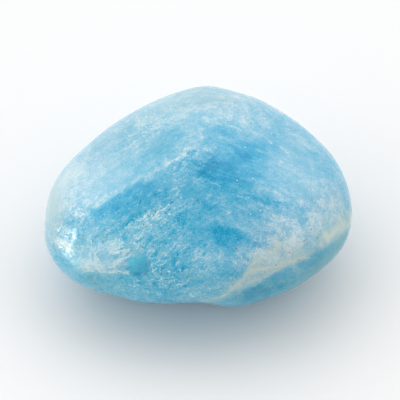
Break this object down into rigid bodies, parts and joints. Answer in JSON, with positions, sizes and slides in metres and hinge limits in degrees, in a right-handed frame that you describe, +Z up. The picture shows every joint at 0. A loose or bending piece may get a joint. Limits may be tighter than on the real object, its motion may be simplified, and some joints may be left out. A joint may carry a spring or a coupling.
{
  "type": "tumbled aquamarine stone",
  "caption": "Polished, barrel-tumbled pebble of milky blue aquamarine, a loose decorative or collector's stone that lies on its worn flat.",
  "frame": {"origin": "on the ground, under the middle of the stone's box, on the flat that it lies on", "axes": "+X along the stone's length, +Y from its front to its back, +Z up"},
  "size_m": [0.03, 0.0238, 0.0157],
  "materials": {
    "milky_aquamarine": "polished, translucent milky blue with white veils, a cream band and rust specks"
  },
  "bodies": {
    "root": {"aquamarine": "milky_aquamarine"}
  },
  "joints": []
}
